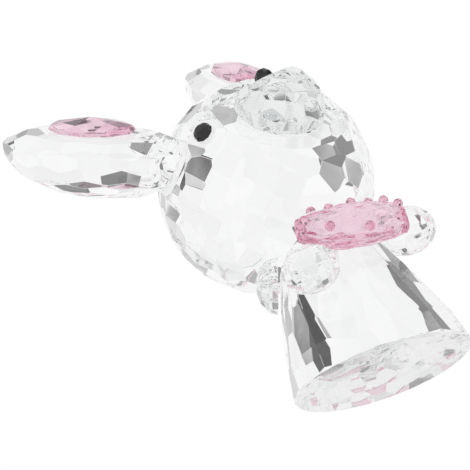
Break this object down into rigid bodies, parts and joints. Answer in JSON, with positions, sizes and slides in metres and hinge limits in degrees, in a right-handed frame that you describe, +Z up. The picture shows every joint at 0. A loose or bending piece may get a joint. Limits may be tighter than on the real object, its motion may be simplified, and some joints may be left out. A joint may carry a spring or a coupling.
{
  "type": "crystal rabbit figurine",
  "caption": "Standing rabbit ornament built of glued faceted clear crystals, with pink stones in its ears, a pink posy held in front, and black eyes and nose.",
  "frame": {"origin": "middle of the flat base of the dress, on the surface that the figurine stands on", "axes": "+Z up, +X to the rabbit's own left, -Y the way the dress's front faces"},
  "size_m": [0.0484, 0.0508, 0.0698],
  "materials": {
    "clear_crystal": "clear cut crystal, facets polished flat, mirror bright",
    "pink_crystal": "pale pink cut crystal, polished facets",
    "rose_crystal": "deeper rose cut crystal, small polished facets",
    "black_stone": "opaque jet black cut stone, polished"
  },
  "bodies": {
    "root": {"arm_left": "clear_crystal", "arm_right": "clear_crystal", "dress": "clear_crystal", "ear_gem_left": "pink_crystal", "ear_gem_right": "pink_crystal", "ear_left": "clear_crystal", "ear_right": "clear_crystal", "eye_left": "black_stone", "eye_right": "black_stone", "head": "clear_crystal", "muzzle": "clear_crystal", "nose": "black_stone", "posy": "pink_crystal", "posy_stone_1": "rose_crystal", "posy_stone_10": "rose_crystal", "posy_stone_2": "rose_crystal", "posy_stone_3": "rose_crystal", "posy_stone_4": "rose_crystal", "posy_stone_5": "rose_crystal", "posy_stone_6": "rose_crystal", "posy_stone_7": "rose_crystal", "posy_stone_8": "rose_crystal", "posy_stone_9": "rose_crystal", "sleeve_left": "clear_crystal", "sleeve_right": "clear_crystal"}
  },
  "joints": []
}
